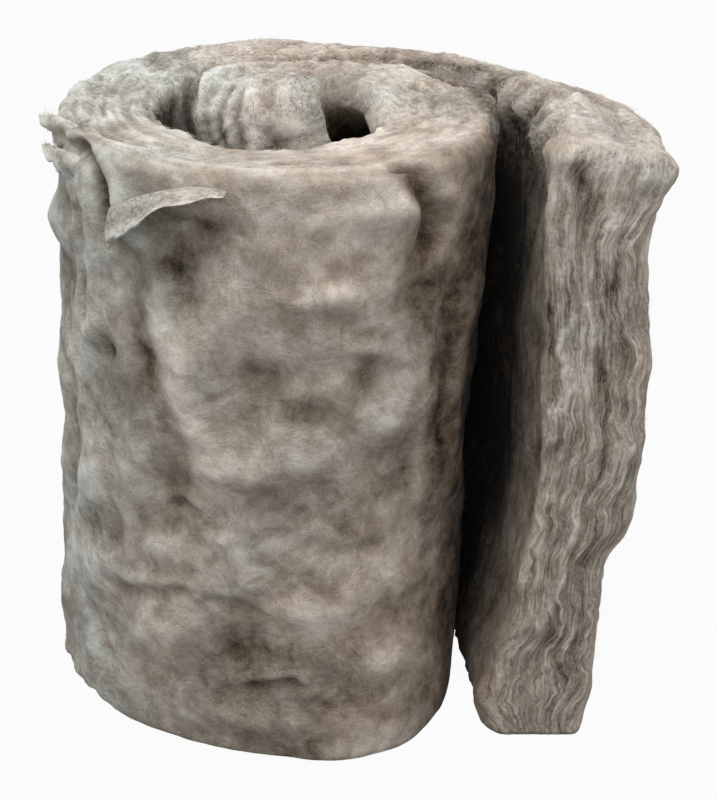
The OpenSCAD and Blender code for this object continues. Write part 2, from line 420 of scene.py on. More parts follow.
# The top and the foot are sunk by this much, so that their lumps stand about the solid's height.
END_SINK = 0.002
MOTTLE = ((0.4, 0.09, 13), (0.5, 0.042, 23), (0.55, 0.018, 33))
DRAWN_SIZE = 0.06
STROKE_DRIFT = ((0.03, 0.09, 53), (0.01, 0.03, 54))
# Sway of the top's strands and their depth, and what each loses where combed or gains at the left rim.
TOP_SWAY = 0.009
TOP_SWAY_SIZE = 0.06
COMBED_SWAY_LOSS = 0.004
STRAND_DEPTH = 0.0024
COMBED_DEPTH_LOSS = 0.0008
RIM_DEPTH_GAIN = 0.0014
# Heights that make the wool fully pale, as painted light on swells, with painted shade in hollows by the same
# scale: of all relief, of folds, and of the puffs of the tail's head.
PAINTED_LIGHT_HEIGHT = 0.01
FOLD_PAINTED_LIGHT_HEIGHT = 0.008
PUFF_PAINTED_LIGHT_HEIGHT = 0.007

# Stretches of the batt, in metres along it: where each sets in, and where it fades out.
COMBED_TOP = ((0.8, 0.89), (1.16, 1.27))
LEFT_RIM = ((0.78, 0.84), (0.93, 0.98))
GAP_INSIDE = ((0.06, 0.2), (0.6, 0.7))
GAP_ROLL_SIDE = ((1.13, 1.26), (1.36, 1.42))
BORE_POCKET = ((1.3, 1.36), (1.46, 1.51))
BORE_LEFT_WALL = ((0.69, 0.745), (0.84, 0.92))
# Changes that last from there on, in metres along the batt.
FRONT_BEGINS = (0.72, 0.82)
OUTER_COVERED = (1.27, 1.36)
GAP_NARROWS = (0.16, 0.28)
BORE_OPENS = (0.82, 0.92)
WRINKLES_END = (0.9, 0.97)
CALM_ENDS = (1.14, 1.22)
PAINTED_LEFT_LIGHT_ENDS = (0.9, 1.0)
TAIL_ENDS = (0.36, 0.46)
FLOOR_SHADE_BEGINS = (0.88, 0.98)
GAP_ENDS = (0.7, 0.86)
CORE_BEGINS = (1.5, 1.56)
RIGHT_RIM_BEGINS = (1.26, 1.31)
LIP_ENDS = (1.46, 1.5)
TAIL_FLUFF_BEGINS = (0.02, 0.08)
# Changes up the batt, in metres from its foot.
NEAR_TOP = (0.46, 0.54)
NEAR_FLOOR = (0.02, 0.24)
LIP_HEIGHTS = (0.53, 0.56)
LEFT_WALL_TOP = (0.55, 0.566)
# Shares across the top that are calmer, and shares of a facing that count as that face.
CALM_SHARES = (0.2, 0.9)
FACE_SHARES = (0.75, 1.0)
POCKET_SHARES = (0.25, 0.6)
TOP_SHARE = 0.7
# How much painted shade darkens each shaded place.
GAP_PAINTED_SHADE = 1.3
TAIL_HEAD_PAINTED_SHADE = 0.6
GAP_INSIDE_PAINTED_SHADE = 1.8
ROLL_SIDE_PAINTED_SHADE = 3.0
POCKET_PAINTED_SHADE = 2.8
LEFT_WALL_PAINTED_SHADE = 3.0
CORE_PAINTED_SHADE = 0.4

# Fine strands, where the wool is combed: their width, and the length over which they change.
STRAND_WIDTH = 0.0026
STRAND_LENGTH = 0.03
END_STRAND_LENGTH = 0.04
# Strokes of fuzz on the faces: their width and length, and where they turn from upright to level.
STROKE_WIDTH = 0.0045
STROKE_LENGTH = 0.011
STROKES_TURN = 0.935
STROKES_EASE = 0.01
STROKES_SEAM = 0.006


def main_lumps(along, up):
    height = np.zeros(np.shape(along))
    for turns_along, turns_up, start, share in LUMP_WAVES:
        turns = (turns_along * along + turns_up * up) / LUMP_PITCH + start
        height += LUMP_HEIGHT * share * np.sin(FULL_TURN * turns)
    clear_of_edges = ramp(0, LUMP_PITCH / 2, np.minimum(up, BATT_WIDTH - up))
    front_share = 1 - 0.45 * ramp(*FRONT_BEGINS, along)
    return height * front_share * clear_of_edges * (1 - ramp(*LUMPS_FADE, along))


def relief(along, across, up, facing):
    """Height of the wool over the plain batt, and its looks, painted light and shade among them; facing has
    outward and upward shares.
    """
    base = in_batt(along, across, up)
    on_outer = np.maximum(facing[..., 0], 0)
    on_inner = np.maximum(-facing[..., 0], 0)
    on_top = np.maximum(facing[..., 1], 0)
    on_bottom = np.maximum(-facing[..., 1], 0)
    near_top = ramp(*NEAR_TOP, up)
    combed = stretch(along, *COMBED_TOP)
    left_rim = stretch(along, *LEFT_RIM)

    # Turns that lie against another turn keep smaller lumps.
    outer_room = 1 - 0.8 * ramp(*OUTER_COVERED, along)
    inner_room = 0.25 + 0.6 * (1 - ramp(*GAP_NARROWS, along)) + 0.5 * ramp(*BORE_OPENS, along)
    broad_lumps = layered(noise, base, BROAD_LUMPS)
    fine_lumps = layered(noise, base, FINE_LUMPS)
    wrinkles = flat_layers(along, up, WRINKLES)
    fine_lumps = fine_lumps + WRINKLE_HEIGHT * wrinkles * (1 - ramp(*WRINKLES_END, along))
    covered = ramp(*LUMPS_FADE, along)
    height = on_outer * (main_lumps(along, up) + outer_room * (covered * broad_lumps + fine_lumps))
    height += on_inner * inner_room * (broad_lumps + fine_lumps)
    folds = folded(along, up)
    inner_puffs = swollen(INNER_PUFFS, along, up)
    height += on_outer * folds + on_inner * (inner_puffs + near_top * layered(clouds, base, TUFTS))

    # The top edge shows the batt's layers as drawn-out strands with fluffy lumps between.
    swayed = across + (TOP_SWAY - COMBED_SWAY_LOSS * combed) * noise(base, TOP_SWAY_SIZE, 8)
    strand = flat_layers(along, swayed, TOP_STRANDS)
    fluff = layered(clouds, base, TOP_FLUFF) + layered(noise, base, TOP_GRAIN)
    calm = 1 - 0.6 * ramp(*CALM_SHARES, across / half_at(along)) * (1 - ramp(*CALM_ENDS, along))
    fluff = layered(noise, base, TOP_WAVES) + fluff * calm * (1 - 0.7 * combed)
    strand_depth = STRAND_DEPTH - COMBED_DEPTH_LOSS * combed + RIM_DEPTH_GAIN * left_rim
    height += on_top * (fluff + strand_depth * strand - END_SINK + swollen(TOP_PUFFS, along, across))
    height += on_bottom * (layered(noise, base, FOOT_LUMPS) - END_SINK)

    # The wool is mottled; it is painted paler where it swells and darker in its folds and pits, as painted
    # light and shade, and paler on the left, as painted light from that side.
    drawn = 1 - np.abs(clouds(base, DRAWN_SIZE, 43)) * 2.5
    tone_and_painted_shading = layered(clouds, base, MOTTLE)
    tone_and_painted_shading = tone_and_painted_shading + 0.45 * np.clip(drawn, -0.3, 1.0) + 0.5 * np.clip(height / PAINTED_LIGHT_HEIGHT, -1.6, 0.9)
    tone_and_painted_shading += on_outer * (0.6 * np.clip(folds / FOLD_PAINTED_LIGHT_HEIGHT, -1.6, 0.5) + swollen(FACE_TONES_AND_PAINTED_SHADING, along, up))
    tone_and_painted_shading += 0.35 * on_outer * (1 - ramp(*PAINTED_LEFT_LIGHT_ENDS, along))
    in_tail = 1 - ramp(*TAIL_ENDS, along)
    strand_tone = 0.4 - 0.15 * combed + 0.6 * left_rim
    # The top is painted paler, as painted light falling from above, and carries its strands' tone and its
    # patches.
    tone_and_painted_shading += on_top * (0.5 - 0.15 * combed + strand_tone * strand + swollen(TOP_TONES_AND_PAINTED_SHADING, along, across))
    # The lumps of the tail's head are painted paler on their tops and darker between them, as painted light
    # and shade.
    tone_and_painted_shading += on_inner * near_top * in_tail * np.clip(inner_puffs / PUFF_PAINTED_LIGHT_HEIGHT - 1, -1.4, 0.8)
    # Painted shade: the wool is darker near the floor, in the gap behind the tail, on the roll's side beside
    # that gap, and inside the bore, where shade falls.
    tone_and_painted_shading -= (0.1 + 0.35 * ramp(*FLOOR_SHADE_BEGINS, along)) * (1 - ramp(*NEAR_FLOOR, up))
    gap_shade = GAP_PAINTED_SHADE - (GAP_PAINTED_SHADE - TAIL_HEAD_PAINTED_SHADE * in_tail) * near_top
    tone_and_painted_shading -= gap_shade * on_inner * (1 - ramp(*GAP_ENDS, along))
    tone_and_painted_shading -= GAP_INSIDE_PAINTED_SHADE * on_inner * (1 - near_top) * stretch(along, *GAP_INSIDE)
    tone_and_painted_shading -= CORE_PAINTED_SHADE * on_inner * ramp(*CORE_BEGINS, along)
    behind = ramp(*RIGHT_RIM_BEGINS, along) * near_top
    tone_and_painted_shading -= ROLL_SIDE_PAINTED_SHADE * on_outer * stretch(along, *GAP_ROLL_SIDE) * (1 - 0.6 * behind)
    lip = ramp(*LIP_HEIGHTS, up) * (1 - ramp(*LIP_ENDS, along))
    pocket = stretch(along, *BORE_POCKET) * (1 - 0.75 * lip)
    tone_and_painted_shading -= POCKET_PAINTED_SHADE * ramp(*POCKET_SHARES, on_inner) * pocket
    left_wall = stretch(along, *BORE_LEFT_WALL) * (1 - ramp(*LEFT_WALL_TOP, up))
    tone_and_painted_shading -= LEFT_WALL_PAINTED_SHADE * on_inner * left_wall

    # Fibres lie along the batt on its top, and in wandering strokes on its faces.
    drift = layered(noise, base, STROKE_DRIFT)
    level = joined(along / STROKE_LENGTH, (up + drift) / STROKE_WIDTH, across / STROKE_WIDTH)
    slanted = along + 0.3 * up + 0.6 * drift
    steep = joined(slanted / STROKE_WIDTH, up / STROKE_LENGTH, across / STROKE_WIDTH)
    laid = joined(along / STRAND_LENGTH, swayed / STRAND_WIDTH, up / STRAND_WIDTH)
    on_left = (along < STROKES_TURN)[..., None]
    is_top = (on_top > TOP_SHARE)[..., None]
    lie = np.where(is_top, laid, np.where(on_left, steep, level))
    weft = np.where(is_top, laid, np.where(on_left, level, steep))
    turning = 1 - bell((along - STROKES_TURN) / STROKES_SEAM)
    on_face = ramp(*FACE_SHARES, on_outer + on_inner) * turning
    stroked = 0.6 - 0.18 * ramp(STROKES_TURN - STROKES_EASE, STROKES_TURN + STROKES_EASE, along)
    drawn_out = 0.18 * combed * ramp(*FACE_SHARES, on_top) + stroked * on_face
    fluffy = (on_top * (1 - combed) + on_inner * near_top + on_outer * behind) * (1 - pocket)
    fluffy = fluffy * (0.3 + 0.7 * ramp(*TAIL_FLUFF_BEGINS, along))
    return height, {"tone_and_painted_shading": tone_and_painted_shading, "lie": lie, "weft": weft, "combed": drawn_out, "fluffy": fluffy}


# The batt's skin: stations along the line, and a loop of points round each section.
OUTER_POINTS = 138
TOP_POINTS = 44
INNER_POINTS = 40
BOTTOM_POINTS = 12
EDGE_ROUND = 0.014
FOOT_ROUND = 0.006
# The skin stops short of the two cut ends, which have caps of their own.
TAIL_END_ROUND = 0.013
CORE_END_ROUND = 0.02
SKIN_START = 0.016
SKIN_STOP = 0.036
SKIN_END = BATT_LENGTH - SKIN_STOP
# Station spacing from each place along the batt to the next.
STATION_ZONES = ((SKIN_START, 0.75, 0.0042), (0.75, 1.29, 0.0031), (1.29, SKIN_END, 0.0046))
# Power that crowds the outer face's points towards its top.
OUTER_CROWDING = 1.2


def stations():
    rows = [np.arange(start, end - spacing / 2, spacing) for start, end, spacing in STATION_ZONES]
    return np.concatenate(rows + [[SKIN_END]])


def section_loop():
    """Square-cornered loop round a section: shares across, from -1 to 1, and up, from 0 to 1."""
    def steps(count):
        return np.arange(count) / count
    rising = 1 - (1 - steps(OUTER_POINTS)) ** OUTER_CROWDING
    sinking = 1 - steps(INNER_POINTS)
    across = np.concatenate([
        np.ones(OUTER_POINTS), 1 - 2 * steps(TOP_POINTS),
        -np.ones(INNER_POINTS), -1 + 2 * steps(BOTTOM_POINTS),
    ])
    up = np.concatenate([rising, np.ones(TOP_POINTS), sinking, np.zeros(BOTTOM_POINTS)])
    return across, up


def rounded(across, up, half, top):
    """Rounds the corners of a section, and gives each point's outward and upward facing."""
    edge = np.where(up < top / 2, FOOT_ROUND, EDGE_ROUND)
    core_across = np.clip(across, -(half - edge), half - edge)
    core_up = np.clip(up, FOOT_ROUND, top - EDGE_ROUND)
    offset = joined(across - core_across, up - core_up)
    reach = np.max(np.abs(offset), axis=-1)
    facing = normalized(offset)
    return core_across + reach * facing[..., 0], core_up + reach * facing[..., 1], facing


# Rise and sag of the top's outer edge, as metres along the batt and upwards.
TOP_RISE = (
    (0.0, 0.06, 0.26, 0.38, 0.46, 0.55, 0.8, 0.92, 1.0),
    (-0.01, -0.016, -0.018, -0.011, 0.0, 0.007, 0.009, 0.004, 0.0),
)
TOP_RISE_FROM = 0.46
TOP_RISE_SHARES = (-0.6, 1.0)
# Sag of the inner end's top, towards its cut face and its outer side.
CORE_SAG = 0.018
CORE_SAG_RANGE = (1.535, 1.59)
CORE_SAG_SHARES = (-0.2, 0.9)
# Swell of the front's foot: its place along the batt, its half length, its height and its reach.
FOOT_PLACE = 1.12
FOOT_HALF_LENGTH = 0.085
FOOT_HEIGHT = 0.2
FOOT_REACH = 0.019


def raised(along, across, up, outward, height):
    """Places of the wool: the plain batt, moved out by its height, with its wandering edges and foot."""
    points = in_batt(along, across, up) + outward * height[..., None]
    share = across / half_at(along)
    foot = FOOT_REACH * bell((along - FOOT_PLACE) / FOOT_HALF_LENGTH)
    foot = foot * (1 - ramp(0, FOOT_HEIGHT, up))
    sideways = tail_shift(along, share, up) + foot * (share + 1) / 2
    points[..., :2] += sideways[..., None] * outward_at(along)
    rise = np.interp(along, *TOP_RISE) * ramp(*TOP_RISE_SHARES, share)
    rise -= CORE_SAG * ramp(*CORE_SAG_RANGE, along) * (0.3 + 0.7 * ramp(*CORE_SAG_SHARES, share))
    points[..., 2] += rise * ramp(TOP_RISE_FROM, BATT_WIDTH, up)
    points[..., 2] = np.maximum(points[..., 2], 0)
    return points


def batt_skin():
    along = stations()[:, None]
    share, rise = section_loop()
    half = half_at(along)
    across, up = np.broadcast_arrays(share * half, rise * BATT_WIDTH)
    across, up, facing = rounded(across, up, half, BATT_WIDTH)
    along = np.broadcast_to(along, across.shape)
    outward = np.concatenate([outward_at(along) * facing[..., :1], facing[..., 1:]], axis=-1)
    height, looks = relief(along, across, up, facing)
    return raised(along, across, up, outward, height), outward, looks, along


def grid_faces(rows, columns, closed):
    """Quads of a grid of points, with its columns joined into a loop where it is closed."""
    joined = columns if closed else columns - 1
    row, column = np.meshgrid(np.arange(rows - 1), np.arange(joined), indexing="ij")
    beside = (column + 1) % columns
    first = row * columns
    return np.stack([first + column, first + beside, first + columns + beside, first + columns + column],
                    axis=-1).reshape(-1, 4)


def border_ring(rows, columns):
    """Numbers of a grid's border points, once round in the order of its faces."""
    number = np.arange(rows * columns).reshape(rows, columns)
    return np.concatenate([number[0, :-1], number[:-1, -1], number[-1, :0:-1], number[:0:-1, 0]])


def make_mesh(name, points, faces, looks):
    """A smooth-shaded mesh from arrays, with its looks kept as attributes for its material."""
    mesh = bpy.data.meshes.new(name)
    mesh.from_pydata(np.asarray(points).reshape(-1, 3), [], faces)
    mesh.update()
    mesh.shade_smooth()
    for key, values in looks.items():
        is_vector = values.ndim == np.ndim(points)
        layer = mesh.attributes.new(key, "FLOAT_VECTOR" if is_vector else "FLOAT", "POINT")
        layer.data.foreach_set("vector" if is_vector else "value", np.asarray(values, np.float32).ravel())
    piece = bpy.data.objects.new(name, mesh)
    bpy.context.scene.collection.objects.link(piece)
    return piece


def closed_sheet(name, front, back, looks, turned):
    """A closed mesh from two grids of points, front and back, joined at their borders."""
    rows, columns = front.shape[:2]
    count = rows * columns
    faces = grid_faces(rows, columns, False)
    ring = border_ring(rows, columns)
    beyond = np.roll(ring, -1)
    wall = joined(ring, ring + count, beyond + count, beyond)
    every = np.concatenate([faces, faces[:, ::-1] + count, wall])
    if turned:
        every = every[:, ::-1]
    points = np.stack([front, back])
    doubled = {key: np.stack([values, values]) for key, values in looks.items()}
    return make_mesh(name, points, every.tolist(), doubled)


def on_roll(piece, material):
    piece.data.materials.append(material)
    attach(piece, "root")
    return piece


def set_inputs(node, settings):
    for key, value in settings.items():
        node.inputs[key].default_value = value


def new_material(name, settings):
    """A new material with settings for its shader; gives it, its node tree and its shader."""
    material = bpy.data.materials.new(name)
    material.use_nodes = True
    shader = material.node_tree.nodes["Principled BSDF"]
    set_inputs(shader, settings)
    return material, material.node_tree, shader


def new_node(tree, kind, **settings):
    made = tree.nodes.new(kind)
    for key, value in settings.items():
        setattr(made, key, value)
    return made


def math_node(tree, operation, *values):
    made = new_node(tree, "ShaderNodeMath", operation=operation)
    for socket, value in zip(made.inputs, values):
        if isinstance(value, (int, float)):
            socket.default_value = value
        else:
            tree.links.new(value, socket)
    return made.outputs["Value"]


def colour_node(tree, value, stops):
    """Colours from a value: stops are places from 0 to 1 and their colours."""
    made = new_node(tree, "ShaderNodeValToRGB")
    elements = made.color_ramp.elements
    first, *middle, last = stops
    for element, (place, colour) in zip(elements, (first, last)):
        element.position = place
        element.color = (*colour, 1)
    for place, colour in middle:
        elements.new(place).color = (*colour, 1)
    tree.links.new(value, made.inputs["Fac"])
    return made.outputs["Color"]


WOOL_SHADER = {"Roughness": 0.95, "Specular IOR Level": 0.1, "Sheen Weight": 0.05, "Sheen Roughness": 0.6}
# The lowest, near-black stop serves the painted shade of the gap behind the tail, the bore's pocket and the
# deepest pits.
WOOL_COLOURS = (
    (0.0, (0.013, 0.011, 0.009)), (0.18, (0.12, 0.09, 0.064)),
    (0.5, (0.355, 0.307, 0.262)), (0.85, (0.68, 0.64, 0.595)),
)
WOOL_MIDDLE = 0.48
WOOL_TONE_SHARE = 0.18
GREY_TINT = (0.91, 1.0, 1.015)
BROWN_TINT = (1.05, 0.99, 0.94)
# The hue goes from grey to brown from patch to patch, and over the roll from left to right, where the greyer
# left is painted cool light from that side.
PAINTED_COOL_LEFT_RANGE = {"From Min": -0.25, "From Max": -0.05, "To Min": -0.22, "To Max": 0.18}
HUE_RANGE = {"From Min": -0.25, "From Max": 0.25}
FLUFFY_HUE = -0.12
WOOL_BUMP = {"Strength": 0.6, "Distance": 0.0011}


# Wool: its tone, with its painted light and shade, comes from the mesh, with grain all over, curls where it
# is fluffy, strands where combed.
def wool_material():
    material, tree, shader = new_material("mineral_wool", WOOL_SHADER)
    links = tree.links

    def noise_node(vector, scale, detail, curl=0.0, roughness=0.5):
        """Noise from about -0.5 to 0.5."""
        made = new_node(tree, "ShaderNodeTexNoise")
        set_inputs(made, {"Roughness": roughness, "Scale": scale, "Detail": detail, "Distortion": curl})
        links.new(vector, made.inputs["Vector"])
        return math_node(tree, "SUBTRACT", made.outputs["Fac"], 0.5)

    def kept(key, output="Fac"):
        return new_node(tree, "ShaderNodeAttribute", attribute_name=key).outputs[output]

    def range_node(value, settings):
        made = new_node(tree, "ShaderNodeMapRange")
        set_inputs(made, settings)
        links.new(value, made.inputs["Value"])
        return made.outputs["Result"]

    def heaped(value, layers):
        for layer, share in layers:
            value = math_node(tree, "MULTIPLY_ADD", layer, share, value)
        return value

    place = new_node(tree, "ShaderNodeTexCoord").outputs["Object"]
    fluffy = kept("fluffy")
    grain = noise_node(place, scale=900.0, detail=2.0)
    wisps = noise_node(place, scale=60.0, detail=5.0, curl=0.8, roughness=0.65)
    curls = math_node(tree, "MULTIPLY", noise_node(place, scale=105.0, detail=4.0, curl=1.8), fluffy)
    warp, weft = [noise_node(kept(key, "Vector"), 1.0, 3.0, roughness=0.6) for key in ("lie", "weft")]
    laid = math_node(tree, "MULTIPLY", math_node(tree, "ADD", warp, weft), kept("combed"))
    shade = math_node(tree, "MULTIPLY_ADD", kept("tone_and_painted_shading"), WOOL_TONE_SHARE, WOOL_MIDDLE)
    shade = heaped(shade, ((grain, 0.42), (wisps, 0.5), (curls, 0.6), (laid, 0.55)))

    # Some patches are browner and some greyer, and the left of the roll is greyer as a whole, as painted cool
    # light from the left.
    hue = heaped(noise_node(place, scale=9.0, detail=3.0, curl=0.5), [(fluffy, FLUFFY_HUE)])
    sides = new_node(tree, "ShaderNodeSeparateXYZ")
    links.new(place, sides.inputs["Vector"])
    hue = math_node(tree, "ADD", hue, range_node(sides.outputs["X"], PAINTED_COOL_LEFT_RANGE))
    tint = new_node(tree, "ShaderNodeMix", data_type="RGBA")
    set_inputs(tint, {"A": (*GREY_TINT, 1), "B": (*BROWN_TINT, 1)})
    links.new(range_node(hue, HUE_RANGE), tint.inputs["Factor"])
    tinted = new_node(tree, "ShaderNodeMix", data_type="RGBA", blend_type="MULTIPLY")
    set_inputs(tinted, {"Factor": 1.0})
    links.new(colour_node(tree, shade, WOOL_COLOURS), tinted.inputs["A"])
    links.new(tint.outputs["Result"], tinted.inputs["B"])
    links.new(tinted.outputs["Result"], shader.inputs["Base Color"])

    bump = new_node(tree, "ShaderNodeBump")
    set_inputs(bump, WOOL_BUMP)
    links.new(heaped(grain, ((wisps, 3.0), (curls, 2.0), (laid, 1.25))), bump.inputs["Height"])
    links.new(bump.outputs["Normal"], shader.inputs["Normal"])
    return material


wool = wool_material()

skin, skin_facing, skin_looks, skin_along = batt_skin()
rows, columns = skin.shape[:2]
skin_faces = grid_faces(rows, columns, True).tolist()
skin_faces.append(list(range(columns - 1, -1, -1)))
skin_faces.append([(rows - 1) * columns + k for k in range(columns)])
batt = on_roll(make_mesh("batt_wool", skin, skin_faces, skin_looks), wool)
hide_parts("wool_batt")

# Cut ends: a cap of strands that stand side by side goes over each end and a little way back.
END_ACROSS_POINTS = 140
END_UP_POINTS = 160
END_WRAP = 0.03
END_LIFT = 0.0012
END_DEPTH = 0.006
# Waves of the strands, long and short: share of the sway, stretch and length; then their crinkles.
STRAND_WAVES = ((1.0, 0.35, 0.05), (0.3, 0.5, 0.022))
CRINKLE = 0.0032
CRINKLE_LENGTH = 0.01
CRINKLE_STRETCH = 0.9
# Stretch of broad and fine strands, and the sizes of fine and loose ones as shares of the broad ones'.
BROAD_STRETCH = 0.12
FINE_STRETCH = 0.14
FINE_SIZE_SHARE = 0.4
LOOSE_SIZE_SHARE = 2.2
# Heights of a cut end where its strands loosen, where it is palest, and where its foot flattens.
STRANDS_LOOSEN = (0.47, 0.56)
END_HEAD = (0.5, 0.56)
END_FOOT = (-0.01, 0.03)
END_SWELL = 0.002
# Puffs of a loose end: share, size and step of the seed.
END_PUFFS = ((1.0, 0.024, 5), (0.5, 0.01, 9))
# Share of the strands' waves that the ribbons follow, and the depth of a hollow whose painted shade is full.
RIBBON_SWAY_SHARE = 0.3
SHADED_HOLLOW_DEPTH = 0.01


def round_over(distance, size, radius):
    """Place, depth behind the cut face and tilt, for distances measured over the rounded edge of a face."""
    length = np.abs(distance)
    flat = size - radius
    tilt = np.clip((length - flat) / radius, 0, QUARTER_TURN)
    beyond = np.maximum(length - flat - radius * QUARTER_TURN, 0)
    place = np.sign(distance) * (np.minimum(length, flat) + radius * np.sin(tilt))
    return place, radius * (1 - np.cos(tilt)) + beyond, tilt


def strands(first, second, size, sway_low, sway_high, looseness, seed):
    """Wavy upright strands on a cut end, broad and fine, and the place across that follows their waves."""
    low = np.clip(1 - second / BATT_WIDTH, 0, 1)
    sway = sway_high + (sway_low - sway_high) * low
    bent = first
    for k, (share, stretched, length) in enumerate(STRAND_WAVES):
        bent = bent + share * sway * flat_noise(stretched * first, second, length, seed + k)
    crinkle = flat_noise(CRINKLE_STRETCH * first, second, CRINKLE_LENGTH, seed + 6)
    bent = bent + CRINKLE * (0.5 + 0.7 * low) * crinkle
    broad = flat_noise(bent, BROAD_STRETCH * second, size, seed + 2)
    fine = flat_noise(bent, FINE_STRETCH * second, FINE_SIZE_SHARE * size, seed + 3)
    loose = flat_noise(first, second, LOOSE_SIZE_SHARE * size, seed + 4)
    head = ramp(*STRANDS_LOOSEN, second) * (1 - looseness)
    return broad * (1 - 0.6 * head - 0.5 * looseness) + loose * (looseness + 0.5 * head), fine, bent


def cut_end(name, at, way, radius, size, depth, sway_low, sway_high, looseness, hollows, ribbons, seed):
    """The cap of an end; way is 1 where the batt goes on from the end, and -1 where it comes to it."""
    half = float(half_at(at))
    wrapped = radius * (QUARTER_TURN - 1) + END_WRAP
    over = np.linspace(-half - wrapped, half + wrapped, END_ACROSS_POINTS)
    rise = np.linspace(0, BATT_WIDTH + wrapped, END_UP_POINTS)
    over, rise = np.meshgrid(over, rise)
    across, depth_across, tilt_across = round_over(over, half, radius)
    up, depth_up, tilt_up = round_over(rise, BATT_WIDTH, radius)
    along = at + way * (depth_across + depth_up)
    across, up, _ = rounded(across, up, half, BATT_WIDTH)
    ahead_share = np.cos(tilt_across) * np.cos(tilt_up)
    facing = normalized(joined(np.sign(over) * np.sin(tilt_across), np.sin(tilt_up)))
    side_height, looks = relief(along, across, up, facing)
    broad, fine, bent = strands(over, rise, size, sway_low, sway_high, looseness, seed)
    hollow = swollen(hollows, over, rise)
    banded = np.zeros(over.shape)
    swayed = over + RIBBON_SWAY_SHARE * (bent - over)
    for line, width, strength in ribbons:
        distance, _ = from_line(joined(swayed, rise), line)
        banded += strength * bell(distance / width)
    base = in_batt(along, across, up)
    puffy = sum(share * clouds(base, puff_size, seed + step) for share, puff_size, step in END_PUFFS)
    ribbon_share = 0.9 - 0.6 * looseness
    end_height = broad + 0.45 * (1 - looseness) * fine + looseness * puffy + ribbon_share * banded
    end_height = depth * end_height * ramp(*END_FOOT, rise) + END_SWELL + hollow
    height = END_LIFT + side_height * (1 - ahead_share) + end_height * ahead_share
    # The cap's border goes under the skin.
    border = np.minimum(half + wrapped - np.abs(over), BATT_WIDTH + wrapped - rise)
    inside = ramp(0, 0.6 * END_WRAP, border)
    over_edge = banded * (1 - ahead_share) * inside
    height += 0.25 * depth * over_edge - (2.5 * END_LIFT) * (1 - inside)
    head = ramp(*END_HEAD, rise)
    # The end's tone: strands and ribbons, paler at its head and where loose, with painted shade towards the
    # floor, and painted shade and light in its hollows and on its swells.
    end_tone_and_painted_shading = broad + 1.1 * (1 - looseness) * fine + 0.8 * looseness * puffy + 1.5 * banded
    end_tone_and_painted_shading += 0.1 + 0.6 * head + 0.6 * looseness - 0.3 * (1 - rise / BATT_WIDTH)
    end_tone_and_painted_shading += np.clip(hollow / SHADED_HOLLOW_DEPTH, -1.8, 0.8)
    looks["tone_and_painted_shading"] = looks["tone_and_painted_shading"] * (1 - ahead_share) + end_tone_and_painted_shading * ahead_share + 1.3 * over_edge
    depths = np.full(bent.shape, float(seed))
    looks["lie"] = joined(rise / END_STRAND_LENGTH, bent / STRAND_WIDTH, depths)
    looks["weft"] = looks["lie"]
    looks["combed"] = ahead_share * (1.45 - 1.05 * head) * (1 - 0.8 * looseness)
    looks["fluffy"] = looks["fluffy"] * (1 - ahead_share) + (0.3 + 0.5 * looseness) * ahead_share
    sides = np.sqrt(1 - ahead_share ** 2)[..., None] * facing
    ahead = -way * unit(line_at(along, "heading")) * ahead_share[..., None]
    outward = np.concatenate([outward_at(along) * sides[..., :1] + ahead, sides[..., 1:]], axis=-1)
    front = raised(along, across, up, outward, height)
    back = raised(along, across, up, outward, height - END_DEPTH)
    on_roll(closed_sheet(name, front, back, looks, way < 0), wool)
    return front, outward, looks["tone_and_painted_shading"], ahead_share


# Hollows and swells of the cut ends, painted darker in the hollows and paler on the swells as painted shade
# and light: places are metres across the batt, outwards, and up.
TAIL_HOLLOWS = (
    (-0.026, 0.538, 0.01, 0.014, -0.007), (-0.012, 0.518, 0.008, 0.012, -0.006),
    (0.012, 0.552, 0.016, 0.014, 0.005), (-0.046, 0.55, 0.01, 0.02, 0.004),
)
CORE_HOLLOWS = (
    (0.052, 0.5, 0.012, 0.1, -0.02), (0.03, 0.53, 0.009, 0.04, 0.003),
    (0.019, 0.51, 0.006, 0.04, -0.003), (0.006, 0.53, 0.009, 0.04, 0.003),
    (-0.006, 0.51, 0.006, 0.05, -0.003), (-0.034, 0.5, 0.022, 0.06, 0.006),
)
